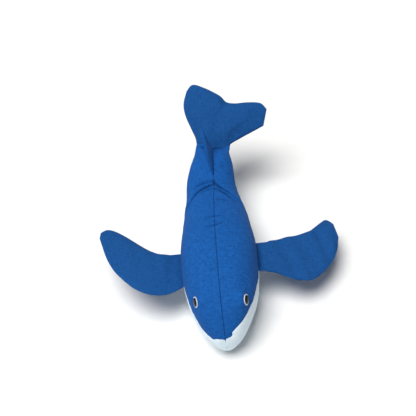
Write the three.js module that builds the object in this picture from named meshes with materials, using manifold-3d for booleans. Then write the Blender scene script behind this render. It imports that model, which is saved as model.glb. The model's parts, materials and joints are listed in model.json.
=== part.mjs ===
// Stuffed fabric whale: a sewn body of blue back panels and white belly panels round a fibre filling,
// two padded flippers, a two-layer dorsal fin, a padded tail fluke and two safety eyes.
// Millimetres, +Z up, nose towards -Y, the whale's own left side towards +X.
import * as THREE from "three";
import { mergeVertices } from "three/addons/utils/BufferGeometryUtils.js";
import Module from "manifold-3d";

const wasm = await Module();
wasm.setup();

// ---------------------------------------------------------------- driving dimensions
const FABRIC = 1.5;              // one sewn panel
const GAP = 0.3;                 // between pieces that touch
const RIM = FABRIC + GAP / 2;    // half thickness of a sewn edge: two panels with a gap between them
const SEAM_CLEARANCE = 2.2;      // from a limb's hinge line to the body it is sewn to

// The body: y from the nose, half width, height of the back, of the belly, and of the widest level.
const STATIONS = [
  [0, 0, 36, 36, 36],
  [3, 13, 51, 19, 37],
  [12, 25, 71, 10, 43],
  [30, 37, 91, 6, 51],
  [62, 49, 105, 1, 55],
  [112, 57.5, 111, -2, 57],
  [165, 57.5, 110, -2, 56],
  [220, 52, 101, 2, 54],
  [272, 44, 92, 11, 54],
  [313, 37.5, 107, 37, 76],
  [345, 30, 117, 70, 97],
  [375, 24, 125, 101, 114],
];
const ROWS = 26;                 // steps along the body
const AROUND = 24;               // steps round a section
const SQUARENESS = 0.8;          // 1 is an ellipse, less is fuller
const HEAD_SQUARENESS = 0.66;    // the head's sides are steep
const KEEL_SQUARENESS = 1.25;    // the chin is drawn in towards the seam under it
const HEAD_LENGTH = 80;

// The body's middle line bends a little sideways: y and x.
const SWAY = [[0, 0], [200, 0], [240, -1.5], [275, -3.5], [300, -4], [325, 0], [354, 6], [375, 10]];

// The seam between back and belly, as heights along the body.
const SIDE_SEAM = [
  [-20, 46], [0, 48], [10, 54], [20, 58], [34, 62], [50, 64], [80, 63],
  [117, 56], [165, 54], [220, 52], [272, 49], [313, 69], [345, 90], [390, 119],
];

// The bend between torso and tail: a round tail root in a hollow torso end.
const BEND_Y = 277;
const BEND_Z = 52.5;
const BEND_RADIUS = 35;
const BEND_RELIEF = THREE.MathUtils.degToRad(24);

// Flippers: outlines from the hinge line outwards, u outwards and v along the body. The soft pads have
// settled into slightly different shapes.
const FLIPPER_ROOT = new THREE.Vector3(57.7 + SEAM_CLEARANCE, 137, 57);
const FLIPPER_REST = THREE.MathUtils.degToRad(7);   // the right one is raised, the left one droops
const FLIPPER_CROWN = 7;
const FLIPPER_EDGES = {
  left: [
    [[0, -25], [20, -30], [42, -43], [60, -46], [78, -42], [104, -18], [121, 13], [127, 42]],
    [[0, 33], [20, 36], [42, 42], [61, 48], [81, 57], [103, 73], [114, 79], [124, 69]],
  ],
  right: [
    [[0, -42], [17, -52], [36, -54], [54, -49], [70, -39], [86, -23], [101, -4], [113, 21], [122, 50], [126, 65]],
    [[0, 28], [24, 29], [46, 38], [67, 53], [85, 67], [102, 79], [115, 83], [125, 76]],
  ],
};

// Tail fluke: u across, v from the hinge line backwards.
const FLUKE_ROOT = new THREE.Vector3(6, 354, 105);
const FLUKE_TILT = THREE.MathUtils.degToRad(38);
const FLUKE_YAW = THREE.MathUtils.degToRad(-20);
const FLUKE_CROWN = 7;
const FLUKE_LEAD = [[-67, 68], [-65, 54], [-57, 38], [-43, 20], [-26, 2], [0, 0], [22, 4], [40, 23], [62, 42], [74, 53]];
const FLUKE_TRAIL = [[-66, 79], [-60, 94], [-40, 94], [-22, 91], [-8, 87], [4, 80], [18, 81], [36, 86], [60, 89], [73, 81]];

// Dorsal fin: u along the back from the front of its base, v up.
const FIN_BASE = [289, 339];     // y of the two ends of the base
const FIN_LEAN = THREE.MathUtils.degToRad(-16);
const FIN_SHIFT = 1;             // x of its base
const FIN_CROWN = 1.8;
const FIN_LEAD = [[0, 0], [24, 14], [46, 25], [69, 34]];
const FIN_TRAIL = [[54, 0], [58, 12], [65, 24], [74, 33]];

// Safety eyes: each one draws the fabric in and faces more sideways than the head's surface does.
const EYE_PLACES = { left: [38.5, 84.8], right: [42.5, 86.2] };   // y and z
const EYE_AXIS = new THREE.Vector3(0.93, -0.27, 0.25);
const EYE_RADIUS = 6.2;
const EYE_DOME = 2.8;
const RING_RADIUS = 8;
const RING_SEAT = 1;             // from the middle of the eye's place on the fabric to the ring's back
const RING_THICKNESS = 1.2;
const SHANK_RADIUS = 2;
const SHANK_LENGTH = 15;
const WASHER_RADIUS = 6.5;
const WASHER_DEPTH = 6.6;        // from the fabric's outer face to the washer
const WASHER_THICKNESS = 1.5;

// ---------------------------------------------------------------- materials
const finish = (color, roughness, metalness = 0) => new THREE.MeshStandardMaterial({ color, roughness, metalness });
const blueFabric = () => finish(0x1f5a9f, 0.9);
const whiteFabric = () => finish(0xdfe8f4, 0.9);
const filling = () => finish(0xf2f0ea, 1);
const blackPlastic = () => finish(0x0a0a0c, 0.15);
const whiteRing = () => finish(0xe8ecf0, 0.6);
const nylon = () => finish(0xd8d8d4, 0.5);

// ---------------------------------------------------------------- solids
// Vertices and faces as a closed solid.
function solid(points, faces) {
  const vertProperties = new Float32Array(points.flatMap((p) => [p.x, p.y, p.z]));
  return new wasm.Manifold(new wasm.Mesh({ numProp: 3, vertProperties, triVerts: new Uint32Array(faces.flat()) }));
}

// A closed three.js geometry as a solid.
function fromGeometry(source) {
  const geometry = source.clone();
  geometry.deleteAttribute("normal");
  geometry.deleteAttribute("uv");
  const merged = mergeVertices(geometry, 1e-4);
  const vertProperties = new Float32Array(merged.attributes.position.array);
  return new wasm.Manifold(new wasm.Mesh({ numProp: 3, vertProperties, triVerts: new Uint32Array(merged.index.array) }));
}

function toMesh(manifold, name, material) {
  const { vertProperties, triVerts, numProp } = manifold.getMesh();
  const positions = new Float32Array((vertProperties.length / numProp) * 3);
  for (let i = 0; i < positions.length / 3; i += 1) {
    positions.set(vertProperties.subarray(i * numProp, i * numProp + 3), i * 3);
  }
  const geometry = new THREE.BufferGeometry();
  geometry.setAttribute("position", new THREE.BufferAttribute(positions, 3));
  geometry.setIndex(new THREE.BufferAttribute(new Uint32Array(triVerts), 1));
  geometry.computeVertexNormals();
  const mesh = new THREE.Mesh(geometry, material);
  mesh.name = name;
  return mesh;
}

// ---------------------------------------------------------------- body surface
const COLUMNS = STATIONS[0].length;
const stationCurve = new THREE.CubicInterpolant(STATIONS.map((row, i) => i), STATIONS.flat(), COLUMNS);
const LAST = STATIONS.length - 1;

function station(s) {
  const [y, halfWidth, back, belly, level] = stationCurve.evaluate(THREE.MathUtils.clamp(s, 0, LAST));
  return { y, halfWidth, back, belly, level };
}

const power = (value, exponent) => Math.sign(value) * Math.abs(value) ** exponent;

// The x of the body's middle line at y.
function sway(y) {
  const row = Math.min(SWAY.length - 2, SWAY.findLastIndex(([start]) => start <= Math.max(0, y)));
  const [[startY, startX], [endY, endX]] = [SWAY[row], SWAY[row + 1]];
  return THREE.MathUtils.mapLinear(y, startY, endY, startX, endX);
}

// The squareness of the section at y, above or below its widest level.
function squareness(y, above) {
  return THREE.MathUtils.lerp(SQUARENESS, above ? HEAD_SQUARENESS : KEEL_SQUARENESS, Math.max(0, 1 - y / HEAD_LENGTH));
}

function bodyPoint(s, angle) {
  const { y, halfWidth, back, belly, level } = station(s);
  const sine = Math.sin(angle);
  const exponent = squareness(y, sine >= 0);
  const height = sine < 0 ? level - belly : back - level;
  return new THREE.Vector3(sway(y) + halfWidth * power(Math.cos(angle), exponent), y, level + height * power(sine, exponent));
}

function bodyNormal(s, angle) {
  const step = 0.02;
  const along = bodyPoint(s + step, angle).sub(bodyPoint(s - step, angle));
  const around = bodyPoint(s, angle + step).sub(bodyPoint(s, angle - step));
  return along.cross(around).normalize();
}

// The surface moved inwards; it never goes below the flat patch the whale rests on.
function insetPoint(s, angle, inset) {
  const point = bodyPoint(s, angle).addScaledVector(bodyNormal(s, angle), -inset);
  point.z = Math.max(point.z, inset);
  return point;
}

// The whole body as one closed solid, inset from its outer face.
function bodySolid(inset) {
  const points = [new THREE.Vector3(0, inset, STATIONS[0][2])];
  const faces = [];
  const ringPoint = (row, k) => 1 + (row - 1) * AROUND + (k % AROUND);
  for (let row = 1; row <= ROWS; row += 1) {
    for (let k = 0; k < AROUND; k += 1) {
      points.push(insetPoint((LAST * row) / ROWS, (2 * Math.PI * k) / AROUND, inset));
    }
  }
  const end = points.length;
  points.push(bodyPoint(LAST, 0).setZ(STATIONS[LAST][4]).setX(bodyPoint(LAST, Math.PI / 2).x));
  for (let k = 0; k < AROUND; k += 1) {
    faces.push([0, ringPoint(1, k), ringPoint(1, k + 1)]);
    faces.push([end, ringPoint(ROWS, k + 1), ringPoint(ROWS, k)]);
    for (let row = 1; row < ROWS; row += 1) {
      faces.push([ringPoint(row, k), ringPoint(row + 1, k), ringPoint(row + 1, k + 1)]);
      faces.push([ringPoint(row, k), ringPoint(row + 1, k + 1), ringPoint(row, k + 1)]);
    }
  }
  return solid(points, faces);
}

// ---------------------------------------------------------------- cutting tools
const FAR = 260;
const SIDEWAYS = new THREE.Matrix4().makeBasis(
  new THREE.Vector3(0, 1, 0),
  new THREE.Vector3(0, 0, 1),
  new THREE.Vector3(1, 0, 0),
);

// A side profile, drawn in y and z, carried across the body between two x values.
function carryAcross(shape, fromX, toX) {
  const geometry = new THREE.ExtrudeGeometry(shape, { depth: toX - fromX, bevelEnabled: false, curveSegments: 16 });
  geometry.applyMatrix4(SIDEWAYS).translate(fromX, 0, 0);
  return fromGeometry(geometry);
}

// Everything on one side of the whale and above or below its side seam.
function quadrant(side, above) {
  const curve = new THREE.SplineCurve(SIDE_SEAM.map(([y, z]) => new THREE.Vector2(y, z + (above ? GAP / 2 : -GAP / 2))));
  const line = curve.getPoints(40);
  const edge = above ? FAR : -FAR;
  const outline = new THREE.Shape([...line, new THREE.Vector2(line.at(-1).x, edge), new THREE.Vector2(line[0].x, edge)]);
  const inner = GAP / 2;
  return side > 0 ? carryAcross(outline, inner, FAR) : carryAcross(outline, -FAR, -inner);
}

// Everything behind the bend: a drum about the bend's axis and all that lies behind it. relief is the
// angle behind upright and behind straight down at which the part outside the drum starts.
function behindBend(radius, relief) {
  const up = Math.PI / 2;
  const shape = new THREE.Shape();
  shape.absarc(BEND_Y, BEND_Z, radius, up - relief, -up + relief, false);
  const ray = (angle) => [BEND_Y + FAR * Math.cos(angle), BEND_Z + FAR * Math.sin(angle)];
  shape.lineTo(...ray(-up + relief));
  shape.lineTo(BEND_Y + FAR, BEND_Z - FAR);
  shape.lineTo(BEND_Y + FAR, BEND_Z + FAR);
  shape.lineTo(...ray(up - relief));
  return carryAcross(shape, -FAR, FAR);
}

// The fluke's own frame on the end of the tail.
const flukeFrame = new THREE.Matrix4()
  .makeTranslation(FLUKE_ROOT)
  .multiply(new THREE.Matrix4().makeRotationX(FLUKE_TILT))
  .multiply(new THREE.Matrix4().makeRotationZ(FLUKE_YAW));

// Everything behind the end of the tail, square to the fluke's root.
function behindTail(clearance) {
  const block = new THREE.BoxGeometry(FAR, FAR, FAR).translate(0, FAR / 2 - clearance, 0);
  return fromGeometry(block.applyMatrix4(flukeFrame));
}

// ---------------------------------------------------------------- eyes
// An eye's frame: its origin is on the head's surface and its +Z points the way the eye faces.
function eyeFrame(side, word) {
  const [eyeY, eyeZ] = EYE_PLACES[word];
  let low = 0;
  let high = LAST;
  for (let i = 0; i < 40; i += 1) {
    const middle = (low + high) / 2;
    if (station(middle).y < eyeY) low = middle;
    else high = middle;
  }
  const { back, level } = station(low);
  const rise = Math.asin(((eyeZ - level) / (back - level)) ** (1 / squareness(eyeY, true)));
  const angle = side > 0 ? rise : Math.PI - rise;
  const outward = EYE_AXIS.clone().setX(side * EYE_AXIS.x).normalize();
  const turn = new THREE.Quaternion().setFromUnitVectors(new THREE.Vector3(0, 0, 1), outward);
  return new THREE.Matrix4().compose(bodyPoint(low, angle), turn, new THREE.Vector3(1, 1, 1));
}

// A turned piece in an eye's frame, from radius and height pairs.
function turned(profile, segments = 20) {
  return new THREE.LatheGeometry(profile.map(([r, z]) => new THREE.Vector2(r, z)), segments).rotateX(Math.PI / 2);
}

function pin(radius, from, to, frame) {
  return fromGeometry(turned([[0, from], [radius, from], [radius, to], [0, to]]).applyMatrix4(frame));
}

function washer(inner, outer, from, to, frame) {
  return fromGeometry(turned([[inner, from], [outer, from], [outer, to], [inner, to], [inner, from]]).applyMatrix4(frame));
}

function eyePieces(side, word) {
  const frame = eyeFrame(side, word);
  const seat = RING_SEAT + RING_THICKNESS + GAP;
  const dome = [[0, -SHANK_LENGTH], [SHANK_RADIUS, -SHANK_LENGTH], [SHANK_RADIUS, seat], [EYE_RADIUS, seat]];
  for (let i = 1; i <= 6; i += 1) {
    const angle = (i * Math.PI) / 12;
    dome.push([i === 6 ? 0 : EYE_RADIUS * Math.cos(angle), seat + 0.6 + EYE_DOME * Math.sin(angle)]);
  }
  const ring = washer(SHANK_RADIUS + GAP, RING_RADIUS, RING_SEAT, RING_SEAT + RING_THICKNESS, frame);
  const back = -WASHER_DEPTH - WASHER_THICKNESS;
  const lock = washer(SHANK_RADIUS + GAP, WASHER_RADIUS, back, -WASHER_DEPTH, frame);
  return {
    meshes: [
      toMesh(fromGeometry(turned(dome).applyMatrix4(frame)), `eye_${word}`, blackPlastic()),
      toMesh(ring, `eye_ring_${word}`, whiteRing()),
      toMesh(lock, `eye_washer_${word}`, nylon()),
    ],
    hole: pin(SHANK_RADIUS + GAP, -SHANK_LENGTH, FAR / 10, frame),
    socket: pin(RING_RADIUS + GAP, RING_SEAT - GAP, FAR / 10, frame),
    pocket: pin(RING_RADIUS + GAP, -SHANK_LENGTH - 1, FAR / 10, frame),
  };
}

// ---------------------------------------------------------------- padded limbs
const RUNGS = 10;                // steps from one end of a pad to the other
const ACROSS = 6;                // steps along one rung

// A flat sewn pad between two edges, lying in u and v with its thickness along z. plump gives the
// share of the crown at each place. layer is "top", "bottom" or "filling"; the filling stops one step
// short of the sewn rim.
function pad(edgeA, edgeB, crown, plump, layer) {
  const curves = [edgeA, edgeB].map((edge) => new THREE.SplineCurve(edge.map(([u, v]) => new THREE.Vector2(u, v))));
  const margin = layer === "filling" ? 1 : 0;
  const upper = [];
  const lower = [];
  for (let k = margin; k <= RUNGS - margin; k += 1) {
    const along = k / RUNGS;
    const [a, b] = curves.map((curve) => curve.getPointAt(along));
    for (let j = margin; j <= ACROSS - margin; j += 1) {
      const across = j / ACROSS;
      const place = a.clone().lerp(b, across);
      const half = RIM + crown * plump(along) * Math.sin(Math.PI * across) ** 0.7;
      const inside = half - FABRIC;
      const levels = {
        top: [half, inside],
        bottom: [-inside, -half],
        filling: [inside - GAP, GAP - inside],
      }[layer];
      upper.push(new THREE.Vector3(place.x, place.y, levels[0]));
      lower.push(new THREE.Vector3(place.x, place.y, levels[1]));
    }
  }
  return slab(upper, lower, RUNGS - 2 * margin, ACROSS - 2 * margin);
}

// A closed solid between two grids of rungs by cells that share their outline.
function slab(upper, lower, rungs, cells) {
  const size = upper.length;
  const at = (k, j) => k * (cells + 1) + j;
  const faces = [];
  const quad = (a, b, c, d) => faces.push([a, b, c], [a, c, d]);
  for (let k = 0; k < rungs; k += 1) {
    for (let j = 0; j < cells; j += 1) {
      const corners = [at(k, j), at(k + 1, j), at(k + 1, j + 1), at(k, j + 1)];
      quad(...corners);
      faces.push(...[[0, 2, 1], [0, 3, 2]].map((face) => face.map((i) => corners[i] + size)));
    }
    quad(at(k + 1, 0), at(k, 0), at(k, 0) + size, at(k + 1, 0) + size);
    quad(at(k, cells), at(k + 1, cells), at(k + 1, cells) + size, at(k, cells) + size);
  }
  for (let j = 0; j < cells; j += 1) {
    quad(at(0, j), at(0, j + 1), at(0, j + 1) + size, at(0, j) + size);
    quad(at(rungs, j + 1), at(rungs, j), at(rungs, j) + size, at(rungs, j + 1) + size);
  }
  const raw = solid([...upper, ...lower], faces);
  return raw.volume() > 0 ? raw : solid([...upper, ...lower], faces.map((face) => face.toReversed()));
}

const mirrored = (edge) => edge.map(([u, v]) => [-u, v]);
const thinAtBothEnds = (along) => Math.sin(Math.PI * along) ** 0.5;
const thinAtRootAndTip = (along) => Math.min(1, along / 0.2) * (1 - along ** 4);

function flipper(side, word) {
  const group = new THREE.Group();
  group.position.copy(FLIPPER_ROOT).setX(side * FLIPPER_ROOT.x);
  group.rotation.y = FLIPPER_REST;
  const edges = FLIPPER_EDGES[word].map((edge) => (side > 0 ? edge : mirrored(edge)));
  const layer = (name) => pad(...edges, FLIPPER_CROWN, thinAtRootAndTip, name);
  group.add(toMesh(layer("top"), `flipper_${word}_top_skin`, blueFabric()));
  group.add(toMesh(layer("bottom"), `flipper_${word}_bottom_skin`, blueFabric()));
  group.add(toMesh(layer("filling"), `flipper_${word}_filling`, filling()));
  return group;
}

function fluke() {
  const group = new THREE.Group();
  group.applyMatrix4(flukeFrame);
  const layer = (name) => pad(FLUKE_LEAD, FLUKE_TRAIL, FLUKE_CROWN, thinAtBothEnds, name);
  group.add(toMesh(layer("top"), "fluke_top_skin", blueFabric()));
  group.add(toMesh(layer("bottom"), "fluke_bottom_skin", blueFabric()));
  group.add(toMesh(layer("filling"), "fluke_filling", filling()));
  return group;
}

// The back's height above a given y, on the centre line.
function backHeight(y) {
  let s = 0;
  while (station(s).y < y) s += 0.01;
  return station(s).back;
}

function dorsalFin() {
  const [front, rear] = FIN_BASE;
  const slope = Math.atan2(backHeight(rear) - backHeight(front), rear - front);
  const group = new THREE.Group();
  const middle = (front + rear) / 2;
  const crest = backHeight(middle) - ((middle - front) * Math.tan(slope));
  group.position.set(FIN_SHIFT, front, Math.max(backHeight(front), crest) + SEAM_CLEARANCE);
  const stand = new THREE.Matrix4().makeBasis(
    new THREE.Vector3(0, Math.cos(slope), Math.sin(slope)),
    new THREE.Vector3(0, -Math.sin(slope), Math.cos(slope)),
    new THREE.Vector3(1, 0, 0),
  );
  const lean = new THREE.Matrix4().makeRotationAxis(new THREE.Vector3(0, Math.cos(slope), Math.sin(slope)), FIN_LEAN);
  group.setRotationFromMatrix(lean.multiply(stand));
  const layer = (name) => pad(FIN_LEAD, FIN_TRAIL, FIN_CROWN, thinAtRootAndTip, name);
  group.add(toMesh(layer("top"), "dorsal_fin_left_skin", blueFabric()));
  group.add(toMesh(layer("bottom"), "dorsal_fin_right_skin", blueFabric()));
  return group;
}

// ---------------------------------------------------------------- assembly
const whale = new THREE.Group();
const eyes = [eyePieces(1, "left"), eyePieces(-1, "right")];
const tailEnd = behindTail(SEAM_CLEARANCE);
const torsoCut = behindBend(BEND_RADIUS + GAP, 0);
const tailCut = behindBend(BEND_RADIUS, BEND_RELIEF).subtract(tailEnd);

// Four panels, cut at the seams, each split at the bend.
const shell = bodySolid(0).subtract(bodySolid(FABRIC));
for (const [side, word] of [[1, "left"], [-1, "right"]]) {
  const eye = eyes[side > 0 ? 0 : 1];
  const back = shell.intersect(quadrant(side, true)).subtract(eye.hole).subtract(eye.socket);
  const belly = shell.intersect(quadrant(side, false));
  whale.add(toMesh(back.subtract(torsoCut), `back_panel_${word}`, blueFabric()));
  whale.add(toMesh(belly.subtract(torsoCut), `belly_panel_${word}`, whiteFabric()));
  whale.add(toMesh(back.intersect(tailCut), `tail_back_panel_${word}`, blueFabric()));
  whale.add(toMesh(belly.intersect(tailCut), `tail_belly_panel_${word}`, whiteFabric()));
}

const stuffing = bodySolid(FABRIC + GAP).subtract(eyes[0].pocket).subtract(eyes[1].pocket);
whale.add(toMesh(stuffing.subtract(torsoCut), "torso_filling", filling()));
whale.add(toMesh(stuffing.intersect(tailCut), "tail_filling", filling()));

whale.add(flipper(1, "left"), flipper(-1, "right"), dorsalFin(), fluke());
for (const eye of eyes) whale.add(...eye.meshes);

// The origin is the bottom centre of the whole whale.
const box = new THREE.Box3().setFromObject(whale, true);
whale.position.y = -(box.min.y + box.max.y) / 2;

export default whale;
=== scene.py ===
"""Looks of a stuffed fabric whale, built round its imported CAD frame.

Metres, +Z up, nose towards -Y, the whale's own left side towards +X. Where a table says "y", it is
measured from the nose towards the tail.
"""

import itertools
import json
import math

import bmesh
import bpy
import numpy as np
from mathutils import Matrix, Vector


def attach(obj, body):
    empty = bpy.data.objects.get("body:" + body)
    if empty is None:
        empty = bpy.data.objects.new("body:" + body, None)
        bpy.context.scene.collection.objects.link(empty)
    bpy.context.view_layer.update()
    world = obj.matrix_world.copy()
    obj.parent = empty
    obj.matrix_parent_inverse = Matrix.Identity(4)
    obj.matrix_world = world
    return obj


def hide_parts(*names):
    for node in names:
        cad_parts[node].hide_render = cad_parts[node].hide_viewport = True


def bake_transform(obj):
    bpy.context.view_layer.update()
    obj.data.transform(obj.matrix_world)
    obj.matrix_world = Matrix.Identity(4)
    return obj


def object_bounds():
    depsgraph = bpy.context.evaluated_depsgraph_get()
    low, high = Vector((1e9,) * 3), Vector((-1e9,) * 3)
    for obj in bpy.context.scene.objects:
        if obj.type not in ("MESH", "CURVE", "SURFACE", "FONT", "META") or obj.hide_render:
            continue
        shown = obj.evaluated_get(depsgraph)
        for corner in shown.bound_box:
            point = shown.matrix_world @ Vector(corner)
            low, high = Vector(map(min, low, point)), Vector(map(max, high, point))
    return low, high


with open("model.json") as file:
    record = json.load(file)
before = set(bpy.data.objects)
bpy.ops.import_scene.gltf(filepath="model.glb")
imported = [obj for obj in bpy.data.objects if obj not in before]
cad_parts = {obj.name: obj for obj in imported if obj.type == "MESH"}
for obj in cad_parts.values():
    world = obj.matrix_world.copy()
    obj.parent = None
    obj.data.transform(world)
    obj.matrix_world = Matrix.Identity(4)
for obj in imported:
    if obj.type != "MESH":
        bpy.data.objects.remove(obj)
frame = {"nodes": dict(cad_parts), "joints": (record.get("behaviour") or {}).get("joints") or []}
cad_low, cad_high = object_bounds()
NOSE = cad_low.y
JOINTS = {joint["name"]: joint for joint in frame["joints"]}
MM = 0.001

# ------------------------------ driving values
FABRIC = 1.0 * MM                # one layer of cloth
SEAM_ROLL = 1.5 * MM             # radius of a cloth edge turned into a seam
SEAM_WANDER = 0.9 * MM           # how far the side seam wanders round the head
WANDER_SIZE = 7 * MM             # the length of one such wander
WANDER_FADE = (30 * MM, 90 * MM)     # it dies away over this stretch behind the nose
NOSE_TUCK = 2.5 * MM             # how deep the panels' points are drawn in at the nose
NOSE_POINT = 0.15                # the size of that drawn-in edge, as a share of the panels' first row
SEAM_ALLOWANCE = 4.0 * MM        # cloth turned inwards beyond a seam
MESH_STEP = 1.7 * MM             # between grid points on the body
FINE_STEP = 0.7 * MM             # between grid points at the nose
FINE_STRETCH = (15 * MM, 60 * MM)    # the one step grows into the other over this stretch

# The body: y, half width, height of the back, of the belly, and of the widest level, in millimetres.
BODY = [
    [0, 0, 36, 36, 36],
    [3, 13, 51, 19, 37],
    [12, 25, 71, 10, 43],
    [30, 37, 91, 6, 51],
    [62, 49, 105, 1, 55],
    [112, 57.5, 111, -2, 57],
    [165, 57.5, 110, -2, 56],
    [220, 52, 101, 2, 54],
    [272, 44, 92, 11, 54],
    [313, 37.5, 107, 37, 76],
    [345, 30, 117, 70, 97],
    [375, 24, 125, 101, 114],
]
SQUARENESS = 0.8                 # 1 is an ellipse, less is fuller
HEAD_SQUARENESS = 0.66           # the head's sides are steep
KEEL_SQUARENESS = 1.25           # the chin is drawn in towards the seam under it
HEAD_LENGTH = 80 * MM

# The body's middle line bends a little sideways: y and x, in millimetres.
SWAY = [[0, 0], [200, 0], [240, -1.5], [275, -3.5], [300, -4], [325, 0], [354, 6], [375, 10]]
# The tail is turned a little on its middle line: y in millimetres and degrees.
TWIST = [[0, 0], [190, 0], [240, -1], [275, -5], [305, -7], [330, -4], [354, 3], [375, 4]]

# The seam between back and belly: y and height, in millimetres.
SIDE_SEAM = [
    [-20, 46], [0, 48], [10, 54], [20, 58], [34, 62], [50, 64], [80, 63],
    [117, 56], [165, 54], [220, 52], [272, 49], [313, 69], [345, 84], [390, 100],
]

# The head is turned a little, which lifts the seam on its left and lowers it on its right: y and height.
SEAM_TILT = [[-20, 0], [1, 0], [7, 7], [20, 8], [33, 6], [50, 3.5], [80, 1.5], [117, 0], [390, 0]]

# The tail's end closes onto the fluke over this stretch.
CLOSE_START = 318 * MM
CLOSE_END = 354 * MM
ROOT_SHIFT = 3 * MM              # the fluke's root seam lies this far behind its hinge line
ROOT_SKEW = 0.2                  # and runs at a slight angle to it
END_HALF_WIDTH = 27 * MM
END_HALF_HEIGHT = 3.0 * MM
END_FLATNESS = 0.02              # the share of the body's height that is left at its closed end

# Limb outlines in millimetres, leading edge then trailing edge: u out from the root along the limb, v
# across it.
FLIPPER_EDGES = {
    "left": (
        [[-6, -24], [0, -25], [20, -30], [42, -43], [60, -46], [78, -42], [104, -18], [121, 13], [127, 42]],
        [[-6, 32], [0, 33], [20, 36], [42, 42], [61, 48], [81, 57], [103, 73], [114, 79], [124, 69]],
    ),
    "right": (
        [[-6, -38], [0, -42], [17, -52], [36, -54], [54, -49], [70, -39], [86, -23], [101, -4], [113, 21],
         [122, 50], [126, 65]],
        [[-6, 28], [0, 28], [24, 29], [46, 38], [67, 53], [85, 67], [102, 79], [115, 83], [125, 76]],
    ),
}
FLUKE_LEAD = [
    [-67, 68], [-65, 54], [-57, 38], [-43, 20], [-31, 5], [-24, -6], [0, -8], [20, -6], [26, 7], [41, 22],
    [62, 41], [74, 52],
]
FLUKE_TRAIL = [
    [-67, 80], [-60, 94], [-40, 94], [-22, 91], [-8, 87], [4, 80], [18, 81], [36, 86], [60, 89], [73, 81],
]
FIN_LEAD = [[-1, -5], [24, 14], [46, 25], [69, 34]]
FIN_TRAIL = [[56, -13], [59, 10], [65, 24], [74, 33]]

# Soft folds across the padded limbs: from and to in limb coordinates, depth and half width.
FOLDS = {
    "flipper_left": [
        ((93, 56), (105, -14), 1.7, 7), ((34, 30), (54, -44), 1.6, 8), ((66, -18), (78, -42), 1.0, 5),
        ((60, 42), (84, -22), 0.8, 9), ((6, 30), (14, -24), 0.9, 6),
    ],
    "flipper_right": [
        ((12, 24), (18, -46), 1.2, 7), ((40, 30), (30, -50), 0.6, 7), ((64, 40), (52, -40), 0.5, 9),
    ],
    "fluke": [
        ((4, 74), (-4, 20), 0.9, 8), ((-30, 22), (-52, 80), 0.6, 9), ((30, 24), (58, 76), 0.7, 9),
    ],
}

# Seeds of the noise that makes each of these uneven. LUMPS holds its own.
SEEDS = {"wander": 3, "side seam": 11, "back seam": 21, "keel seam": 31, "filling": 9}


# ------------------------------ curves and noise
def curve(table, t):
    """A smooth curve through the rows of a table, at places t counted in rows."""
    rows = np.asarray(table, float)
    rows = np.vstack([2 * rows[0] - rows[1], rows, 2 * rows[-1] - rows[-2]])
    t = np.clip(t, 0, len(table) - 1)
    i = np.minimum(t.astype(int), len(table) - 2)
    f = (t - i)[..., None]
    a, b, c, d = (rows[i + k] for k in range(4))
    return 0.5 * (2 * b + (c - a) * f + (2 * a - 5 * b + 4 * c - d) * f**2 + (3 * b - a - 3 * c + d) * f**3)


def even_curve(table, t, samples=400):
    """The same curve with t from 0 to 1 measured along its length."""
    dense = curve(table, np.linspace(0, len(table) - 1, samples))
    length = np.concatenate([[0], np.cumsum(np.linalg.norm(np.diff(dense, axis=0), axis=1))])
    return np.stack([np.interp(t, length / length[-1], column) for column in dense.T], -1)


def smoothstep(x, low, high):
    """0 below low and 1 above high, with an easy rise between."""
    t = np.clip((x - low) / (high - low), 0, 1)
    return t * t * (3 - 2 * t)


NOISE_ORIGIN = 1000.5            # far enough out that no cell number is below zero
CELL_PRIMES = (73856093, 19349663, 83492791)
SEED_PRIME = 83471
MIXING = ((13, 1274126177), (15, 668265263))
LARGEST = 0x7FFFFFFF


def cell_value(cell, seed):
    """A number from -1 to 1 for each cell of whole numbers, always the same one for a seed."""
    mixed = seed * SEED_PRIME
    for k, prime in enumerate(CELL_PRIMES):
        mixed = cell[..., k] * prime ^ mixed
    for shift, factor in MIXING:
        mixed = ((mixed ^ (mixed >> shift)) * factor) & LARGEST
    return mixed / (LARGEST // 2) - 1


def lumps(points, size, seed):
    """Smooth noise from -1 to 1 whose lumps are about size across."""
    place = np.asarray(points, float) / size + NOISE_ORIGIN
    cell = np.floor(place).astype(np.int64)
    f = place - cell
    f = f * f * (3 - 2 * f)
    total = np.zeros(place.shape[:-1])
    for corner in itertools.product((0, 1), repeat=3):
        share = np.prod([f[..., k] if corner[k] else 1 - f[..., k] for k in range(3)], axis=0)
        total += share * cell_value(cell + corner, seed)
    return total


def ripples(distance, size, seed):
    """The same noise along a line."""
    return lumps(np.stack([distance, 0 * distance, 0 * distance], -1), size, seed)


# ------------------------------ meshes
def new_object(name, points, faces, cloth=None):
    """A smooth object from points and faces. cloth is each point's place on the cloth, for the weave, and
    how strongly shade is painted there in creases.
    """
    mesh = bpy.data.meshes.new(name)
    mesh.from_pydata([tuple(p) for p in points], [], [tuple(int(i) for i in face) for face in faces])
    if cloth is not None:
        mesh.attributes.new("cloth", "FLOAT_VECTOR", "POINT").data.foreach_set(
            "vector", np.asarray(cloth, np.float32).ravel()
        )
    work = bmesh.new()
    work.from_mesh(mesh)
    bmesh.ops.recalc_face_normals(work, faces=work.faces)
    work.to_mesh(mesh)
    work.free()
    mesh.polygons.foreach_set("use_smooth", [True] * len(mesh.polygons))
    made = bpy.data.objects.new(name, mesh)
    bpy.context.scene.collection.objects.link(made)
    return made


def cells(index):
    """The quads of a grid of vertex numbers."""
    corners = (index[:-1, :-1], index[1:, :-1], index[1:, 1:], index[:-1, 1:])
    return np.stack([c.ravel() for c in corners], -1)


def border(index):
    """The vertex numbers round a grid's edge, in order."""
    return np.concatenate([index[0, :-1], index[:-1, -1], index[-1, :0:-1], index[:0:-1, 0]])


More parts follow.
